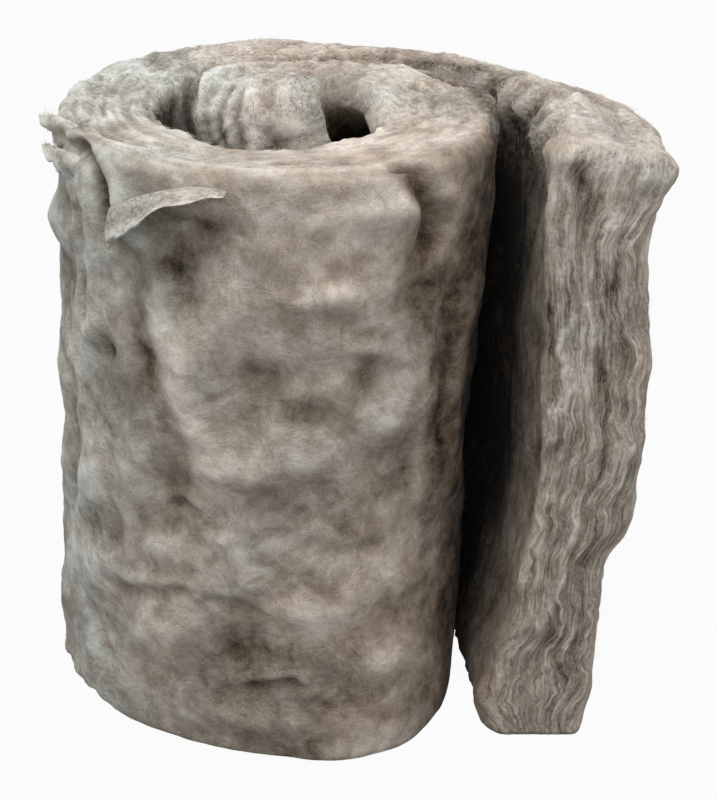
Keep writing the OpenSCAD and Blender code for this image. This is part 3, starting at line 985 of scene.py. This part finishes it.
# Pale ribbons, which stand up, and dark clefts, which sink, of the cut ends; their tone is partly the wool's
# layers and partly painted light and shade: line, half width and strength.
TAIL_RIBBONS = (
    (((-0.053, 0.55), (-0.048, 0.52), (-0.052, 0.489), (-0.052, 0.46)), 0.005, 0.5),
    (((-0.025, 0.416), (-0.034, 0.399), (-0.037, 0.386), (-0.03, 0.368), (-0.026, 0.351), (-0.033, 0.332)),
     0.005, 1.0),
    (((-0.011, 0.43), (-0.007, 0.402), (-0.007, 0.379), (-0.013, 0.351), (-0.005, 0.322), (0.001, 0.298)),
     0.005, 0.7),
    (((0.003, 0.56), (0.0, 0.546), (0.001, 0.52), (0.014, 0.493), (0.014, 0.469)), 0.007, 0.5),
    (((-0.034, 0.55), (-0.03, 0.54), (-0.019, 0.53), (-0.019, 0.511), (-0.013, 0.49)), 0.006, -0.7),
    (((0.031, 0.475), (0.021, 0.448), (0.011, 0.434), (0.002, 0.416)), 0.005, -0.8),
    (((-0.05, 0.434), (-0.045, 0.398), (-0.037, 0.365), (-0.041, 0.337)), 0.005, -0.9),
    (((-0.003, 0.384), (0.002, 0.362), (0.008, 0.341), (0.008, 0.313)), 0.006, -0.9),
    (((0.015, 0.444), (0.023, 0.416), (0.021, 0.393), (0.009, 0.362)), 0.007, -0.5),
    (((-0.042, 0.247), (-0.039, 0.204), (-0.028, 0.169), (-0.035, 0.133), (-0.03, 0.117)), 0.005, 0.6),
    (((-0.003, 0.234), (-0.003, 0.199), (0.0, 0.164), (-0.022, 0.112)), 0.005, 0.6),
    (((0.01, 0.274), (0.012, 0.224), (0.029, 0.184)), 0.01, -0.5),
    (((-0.013, 0.11), (0.006, 0.091), (0.025, 0.059)), 0.008, -0.7),
)
CORE_RIBBONS = (
    (((0.05, 0.59), (0.05, 0.5)), 0.008, -1.1),
    (((0.04, 0.59), (0.037, 0.54), (0.036, 0.48)), 0.006, 0.8),
    (((0.03, 0.574), (0.027, 0.54), (0.025, 0.5)), 0.004, -0.8),
    (((0.022, 0.59), (0.02, 0.55), (0.017, 0.5)), 0.005, 0.7),
    (((0.012, 0.578), (0.014, 0.55), (0.008, 0.5)), 0.005, -0.9),
    (((0.003, 0.592), (0.006, 0.555), (0.0, 0.5)), 0.005, 0.6),
    (((-0.006, 0.572), (-0.004, 0.54), (-0.008, 0.5)), 0.004, -0.8),
    (((-0.01, 0.57), (-0.018, 0.545), (-0.016, 0.505)), 0.008, 0.9),
    (((-0.028, 0.578), (-0.034, 0.545), (-0.036, 0.5)), 0.006, -0.8),
    (((-0.04, 0.58), (-0.046, 0.55), (-0.046, 0.51)), 0.006, 0.5),
)
tail_cap = cut_end(
    "tail_end_layers", at=0.0, way=1, radius=TAIL_END_ROUND, size=0.0085, depth=0.0045, sway_low=0.018,
    sway_high=0.006, looseness=0.3, hollows=TAIL_HOLLOWS, ribbons=TAIL_RIBBONS, seed=21)
core_cap = cut_end(
    "core_end_layers", at=BATT_LENGTH, way=-1, radius=CORE_END_ROUND, size=0.018, depth=0.006, sway_low=0.01,
    sway_high=0.01, looseness=0.8, hollows=CORE_HOLLOWS, ribbons=CORE_RIBBONS, seed=41)

# Torn tongues of wool near the top: each is laid out by its upper and lower line, from its root to its tip.
TONGUE_COLUMNS = 60
TONGUE_ROWS = 18
LINE_EASE = 0.08
LINE_EASE_STEPS = 9
# Rags of a tongue's lower edge: reach and length, as shares of its height and length.
TONGUE_RAGS = ((0.16, 0.11), (0.07, 0.04))
RAGS_BEGIN = (0.05, 0.25)
TIP_NARROWING = 0.92
TONGUE_ROOT_DEPTH = 0.003
TONGUE_WAVE = 0.005
TONGUE_WAVE_SIZE = 0.018
TONGUE_STREAK_SIZE = 0.006
# A painted crease: a band of painted shade across a tongue, with its rise, half width and the stretch where
# it fades; the tongue's shape has no fold there.
PAINTED_CREASE_RISE = 0.55
PAINTED_CREASE_HALF_WIDTH = 0.2
PAINTED_CREASE_ENDS = (0.35, 0.7)
TONGUE_COMBED = 0.25


def eased_line(points, share):
    """Places along a line of points, with its corners eased."""
    marks = np.linspace(0, 1, len(points))
    near = [np.clip(share + step, 0, 1) for step in np.linspace(-LINE_EASE, LINE_EASE, LINE_EASE_STEPS)]
    return joined(*[np.mean([np.interp(at, marks, column) for at in near], axis=0)
                    for column in np.array(points).T])


def torn_tongue(name, upper_line, lower_line, lifts, fast_share, thickness, taper_from, seed):
    """A tongue of wool; fast_share is how much of its lift its upper edge lacks."""
    share = np.linspace(0, 1, TONGUE_COLUMNS)
    marks = np.linspace(0, 1, len(lifts))
    lower = eased_line(lower_line, share)
    upper = eased_line(upper_line, share)
    ragged = sum(reach * flat_noise(share, 0 * share, length, seed + k)
                 for k, (reach, length) in enumerate(TONGUE_RAGS))
    narrowing = TIP_NARROWING * ramp(taper_from, 1.0, share) + ragged * ramp(*RAGS_BEGIN, share)
    lower = lower + (upper - lower) * narrowing[:, None]
    rise = np.linspace(0, 1, TONGUE_ROWS)[:, None]
    place = lower + (upper - lower) * rise[..., None]
    along, up = place[..., 0], place[..., 1]
    half = half_at(along)
    facing = np.broadcast_to((1.0, 0.0), along.shape + (2,))
    outward = in_plan(outward_at(along))
    height, _ = relief(along, half, up, facing)
    free = 1 - fast_share * rise
    lift = np.interp(share, marks, lifts) * np.maximum(free, 0) ** 1.3 - TONGUE_ROOT_DEPTH * fast_share * rise
    lift = lift + TONGUE_WAVE * flat_noise(along, up, TONGUE_WAVE_SIZE, seed + 2) * free
    thick = thickness * (1 - 0.7 * share) * (0.12 + 0.88 * np.sqrt(np.clip(4 * rise * (1 - rise), 0, 1)))
    front = raised(along, half, up, outward, height + lift + 0.7 * thick)
    back = raised(along, half, up, outward, height + lift - 0.3 * thick)
    # The tongue's tone: pale streaks, with painted shade towards its fastened edge and in the painted crease,
    # and a painted highlight along its lower edge.
    tone_and_painted_shading = 1.2 + 0.6 * flat_noise(0.3 * along, up, TONGUE_STREAK_SIZE, seed + 3) - 0.5 * fast_share * rise
    crease_shade = bell((rise - PAINTED_CREASE_RISE) / PAINTED_CREASE_HALF_WIDTH) * (1 - ramp(*PAINTED_CREASE_ENDS, share))
    tone_and_painted_shading += 0.5 * (1 - rise) ** 3 - 1.1 * crease_shade
    lie = joined(along / STRAND_LENGTH, up / STRAND_WIDTH, np.full(along.shape, float(seed)))
    looks = {"tone_and_painted_shading": tone_and_painted_shading, "lie": lie, "weft": lie, "combed": np.full(along.shape, TONGUE_COMBED),
             "fluffy": np.zeros(along.shape)}
    turned = upper_line[-1][0] < upper_line[0][0]
    on_roll(closed_sheet(name, front, back, looks, turned), wool)
    return front, outward, tone_and_painted_shading


flap = torn_tongue(
    "torn_flap",
    ((0.931, 0.523), (0.945, 0.533), (0.962, 0.543), (0.979, 0.55), (0.996, 0.556), (1.01, 0.556),
     (1.019, 0.552)),
    ((0.93, 0.484), (0.944, 0.502), (0.957, 0.514), (0.968, 0.529), (0.98, 0.54), (0.999, 0.544),
     (1.02, 0.549)),
    lifts=(0.01, 0.015, 0.022, 0.02, 0.016, 0.014, 0.016),
    fast_share=1.0, thickness=0.01, taper_from=0.7, seed=51)
upper_tongue = torn_tongue(
    "upper_left_tongue",
    ((0.866, 0.566), (0.852, 0.568), (0.84, 0.566), (0.829, 0.562), (0.82, 0.557)),
    ((0.866, 0.542), (0.852, 0.542), (0.84, 0.543), (0.829, 0.543), (0.82, 0.544)),
    lifts=(-0.014, -0.004, 0.007, 0.015, 0.018), fast_share=0.3, thickness=0.012, taper_from=0.25, seed=61)
lower_tongue = torn_tongue(
    "lower_left_tongue",
    ((0.9, 0.54), (0.88, 0.545), (0.86, 0.544), (0.84, 0.54), (0.822, 0.535)),
    ((0.894, 0.512), (0.876, 0.516), (0.858, 0.52), (0.84, 0.523), (0.822, 0.524)),
    lifts=(-0.014, -0.006, 0.005, 0.014, 0.019), fast_share=0.3, thickness=0.01, taper_from=0.3, seed=71)

# Loose fibres: closed needles with three sides, bent once, that lie on the wool.
NEEDLE_SIDES = 3
NEEDLE_FACES = np.array([
    (0, 1, 4), (0, 4, 3), (1, 2, 5), (1, 5, 4), (2, 0, 3), (2, 3, 5),
    (3, 4, 6), (4, 5, 6), (5, 3, 6), (2, 1, 0),
])
NEEDLE_POINTS = 7
NEEDLE_ROOT = 0.0008
NEEDLE_BEND = 0.35
NEEDLE_MIDDLE_SHARE = 0.7
FIBRE_RADII = (0.0001, 0.00024)


def needles(name, roots, facing, leaning, lift, length, radius, droop, tone_and_painted_shading):
    count = len(roots)
    start = normalized(leaning * np.cos(lift)[:, None] + facing * np.sin(lift)[:, None])
    sideways = normalized(np.cross(start, facing))
    bend = sideways * rng.normal(0, NEEDLE_BEND, (count, 1)) - facing * droop[:, None]
    low = roots - facing * NEEDLE_ROOT
    middle = roots + length[:, None] * (0.5 * start + 0.25 * bend)
    tip = roots + length[:, None] * (start + bend)
    upward = np.cross(sideways, start)
    rings = []
    for centre, size in ((low, radius), (middle, NEEDLE_MIDDLE_SHARE * radius)):
        for turn in range(NEEDLE_SIDES):
            around = unit(FULL_TURN * turn / NEEDLE_SIDES)
            rings.append(centre + size[:, None] * (around[0] * sideways + around[1] * upward))
    points = np.stack(rings + [tip], axis=1)
    points[..., 2] = np.maximum(points[..., 2], 0)
    faces = (np.arange(count)[:, None, None] * NEEDLE_POINTS + NEEDLE_FACES).reshape(-1, 3).tolist()
    return make_mesh(name, points, faces, {"tone_and_painted_shading": np.repeat(tone_and_painted_shading[:, None], NEEDLE_POINTS, axis=1)})


def scatter(points, weight, count):
    """Random places on a grid of points, by area and weight, and the grid cell of each."""
    beside = points[:-1, 1:] - points[:-1, :-1]
    ahead = points[1:, :-1] - points[:-1, :-1]
    area = np.linalg.norm(np.cross(beside, ahead), axis=-1) * weight[:-1, :-1]
    cell = rng.choice(area.size, count, p=area.ravel() / area.sum())
    row, column = np.unravel_index(cell, area.shape)
    a, b = rng.random((2, count, 1))
    return points[row, column] + a * ahead[row, column] + b * beside[row, column], row, column


def flow(spot, facing, size, seed, bias):
    """A swirling direction along the surface at each spot, drawn towards the bias."""
    push = joined(*[noise(spot, size, seed + k) for k in range(3)]) + bias
    push -= facing * np.sum(push * facing, axis=-1, keepdims=True)
    return normalized(push)


FIBRE_COLOURS = ((0.0, (0.14, 0.115, 0.092)), (1.0, (0.72, 0.685, 0.64)))
# Tone of a fibre: its middle, the share of the wool's tone with its painted light and shade, its spread and
# the darkest that it gets.
FIBRE_TONE = 0.55
FIBRE_WOOL_SHARE = 0.14
FIBRE_SPREAD = 0.14
FIBRE_DARKEST = 0.35


def fibre_material():
    material, tree, shader = new_material("loose_fibre", {"Roughness": 0.8, "Specular IOR Level": 0.15})
    tone_and_painted_shading = new_node(tree, "ShaderNodeAttribute", attribute_name="tone_and_painted_shading")
    colour = colour_node(tree, tone_and_painted_shading.outputs["Fac"], FIBRE_COLOURS)
    tree.links.new(colour, shader.inputs["Base Color"])
    return material


fibre = fibre_material()


def fibres_on(name, sheet, weight, count, swirl, seed, lift, length, droop):
    points, outward, tones_and_painted_shading, bias = sheet
    spot, row, column = scatter(points, weight, count)
    facing = normalized(outward[row, column])
    tone_and_painted_shading = FIBRE_TONE + FIBRE_WOOL_SHARE * tones_and_painted_shading[row, column] + FIBRE_SPREAD * rng.normal(size=count)
    tone_and_painted_shading = np.clip(tone_and_painted_shading, FIBRE_DARKEST, 1)
    lean = flow(spot, facing, swirl, seed, bias[row, column])
    piece = needles(
        name, spot, facing, lean, rng.uniform(*lift, count), rng.uniform(*length, count),
        rng.uniform(*FIBRE_RADII, count), rng.uniform(*droop, count), tone_and_painted_shading)
    return on_roll(piece, fibre)


# Where fibres grow: on the top, on the face up to the gap behind the tail, and on the loose edges.
FACE_FIBRES_END = 1.14
LOOSE_EDGE_HEIGHTS = (0.5, 0.56)
PRESSED_STRETCH = ((0.4, 0.46), (1.5, 1.54))
RIGHT_RIM = ((1.2, 1.26), (1.38, 1.44))
# How strongly fibres are drawn along the batt on its top, up its cut ends, and to a tongue's tip.
TOP_PULL = 0.6
END_PULL = 1.8
TIP_PULL = 1.5

facing_up = np.clip(skin_facing[..., 2], 0, 1)
facing_sideways = np.sum(skin_facing[..., :2] * outward_at(skin_along), axis=-1)
facing_out = np.clip(facing_sideways, 0, 1)
facing_in = np.clip(-facing_sideways, 0, 1)
heading = in_plan(unit(line_at(skin_along, "heading")))
near_edge = (1 - stretch(skin_along, *PRESSED_STRETCH)) * np.clip(facing_in + 0.3 * facing_up, 0, 1)
near_edge = near_edge + 0.8 * stretch(skin_along, *RIGHT_RIM) * facing_out
near_edge = near_edge * ramp(*LOOSE_EDGE_HEIGHTS, skin[..., 2])
upright = np.broadcast_to((0.0, 0.0, END_PULL), tail_cap[0].shape)
batt_sheet = (skin, skin_facing, skin_looks["tone_and_painted_shading"], TOP_PULL * facing_up[..., None] * heading)
fibres_on("top_fibres", batt_sheet, facing_up ** 8, count=19000, swirl=0.03, seed=61,
          lift=(0.02, 0.12), length=(0.004, 0.012), droop=(0.05, 0.2))
fibres_on("face_fibres", batt_sheet, facing_out ** 2 * (skin_along < FACE_FIBRES_END), count=5000,
          swirl=0.05, seed=71, lift=(0.01, 0.1), length=(0.003, 0.008), droop=(0.02, 0.12))
fibres_on("edge_fibres", batt_sheet, near_edge ** 2, count=7000, swirl=0.024, seed=131,
          lift=(0.05, 0.32), length=(0.004, 0.011), droop=(0.04, 0.25))
fibres_on("tail_end_fibres", (*tail_cap[:3], upright), tail_cap[3] ** 6, count=11000, swirl=0.02, seed=81,
          lift=(0.0, 0.06), length=(0.005, 0.015), droop=(0.02, 0.1))
fibres_on("core_end_fibres", (*core_cap[:3], upright), core_cap[3] + 0.3, count=8000, swirl=0.03, seed=91,
          lift=(0.01, 0.2), length=(0.004, 0.014), droop=(0.02, 0.15))
for name, sheet, seed in (("flap_fibres", flap, 101), ("upper_tongue_fibres", upper_tongue, 111),
                          ("lower_tongue_fibres", lower_tongue, 121)):
    towards_tip = normalized(np.gradient(sheet[0], axis=1))
    fibres_on(name, (*sheet, TIP_PULL * towards_tip), np.ones(sheet[0].shape[:2]), count=800, swirl=0.03,
              seed=seed, lift=(0.01, 0.16), length=(0.004, 0.012), droop=(0.02, 0.15))
# Floor, light and camera.
FLOOR_REACH = 12.0
FLOOR_COLOUR = (0.18, 0.18, 0.18)
FLOOR_GLOW_SHARE = 0.955
WORLD_LEVEL = 0.95
ROLL_MIDDLE = (0.0, 0.0, 0.3)
KEY_PLACE = (-0.3, -0.5, 2.3)
KEY_SIZE = 0.9
KEY_POWER = 20


def seen_rays(tree):
    """1 for rays that show the background to the camera, straight or in a reflection."""
    rays = new_node(tree, "ShaderNodeLightPath")
    seen = rays.outputs["Is Camera Ray"]
    for other in ("Is Glossy Ray", "Is Transmission Ray"):
        seen = math_node(tree, "MAXIMUM", seen, rays.outputs[other])
    return seen


def pale_floor():
    corners = FLOOR_REACH * np.array([(-1, -1, 0), (1, -1, 0), (1, 1, 0), (-1, 1, 0)])
    floor = make_mesh("floor", corners, [(0, 1, 2, 3)], {})
    material, tree, shader = new_material(
        "pale_floor", {"Base Color": (*FLOOR_COLOUR, 1), "Roughness": 1.0, "Specular IOR Level": 0.0})
    glow = new_node(tree, "ShaderNodeEmission")
    mix = new_node(tree, "ShaderNodeMixShader")
    tree.links.new(math_node(tree, "MULTIPLY", seen_rays(tree), FLOOR_GLOW_SHARE), mix.inputs["Fac"])
    tree.links.new(shader.outputs["BSDF"], mix.inputs[1])
    tree.links.new(glow.outputs["Emission"], mix.inputs[2])
    tree.links.new(mix.outputs["Shader"], tree.nodes["Material Output"].inputs["Surface"])
    floor.data.materials.append(material)


def white_world():
    world = bpy.data.worlds.new("studio")
    bpy.context.scene.world = world
    world.use_nodes = True
    tree = world.node_tree
    back = tree.nodes["Background"]
    strength = new_node(tree, "ShaderNodeMix")
    set_inputs(strength, {"A": WORLD_LEVEL, "B": 1.0})
    tree.links.new(seen_rays(tree), strength.inputs["Factor"])
    tree.links.new(strength.outputs["Result"], back.inputs["Strength"])
    set_inputs(back, {"Color": (1, 1, 1, 1)})


def soft_light(name, place, aim, size, power):
    lamp = bpy.data.lights.new(name, "AREA")
    lamp.shape = "DISK"
    lamp.size = size
    lamp.energy = power
    holder = bpy.data.objects.new(name, lamp)
    holder.location = place
    holder.rotation_euler = (Vector(aim) - Vector(place)).to_track_quat("-Z", "Y").to_euler()
    bpy.context.scene.collection.objects.link(holder)


CAMERA_PLACE = (0.0153, -1.6665, 1.056)
CAMERA_PITCH = math.radians(25.4)
# Focal length of the fitted camera in pixels, on the picture's long side of 800 pixels.
FOCAL_PIXELS = 1867.0
LONG_SIDE_PIXELS = 800.0
SENSOR = 36.0


def photo_camera():
    camera = bpy.data.objects.new("photo_camera", bpy.data.cameras.new("photo_camera"))
    camera.location = CAMERA_PLACE
    camera.rotation_euler = (QUARTER_TURN - CAMERA_PITCH, 0, 0)
    camera.data.sensor_width = SENSOR
    camera.data.lens = FOCAL_PIXELS * SENSOR / LONG_SIDE_PIXELS
    bpy.context.scene.collection.objects.link(camera)
    bpy.context.scene.camera = camera


pale_floor()
white_world()
soft_light("key", KEY_PLACE, ROLL_MIDDLE, KEY_SIZE, KEY_POWER)
photo_camera()
bpy.context.scene.view_settings.view_transform = "Standard"
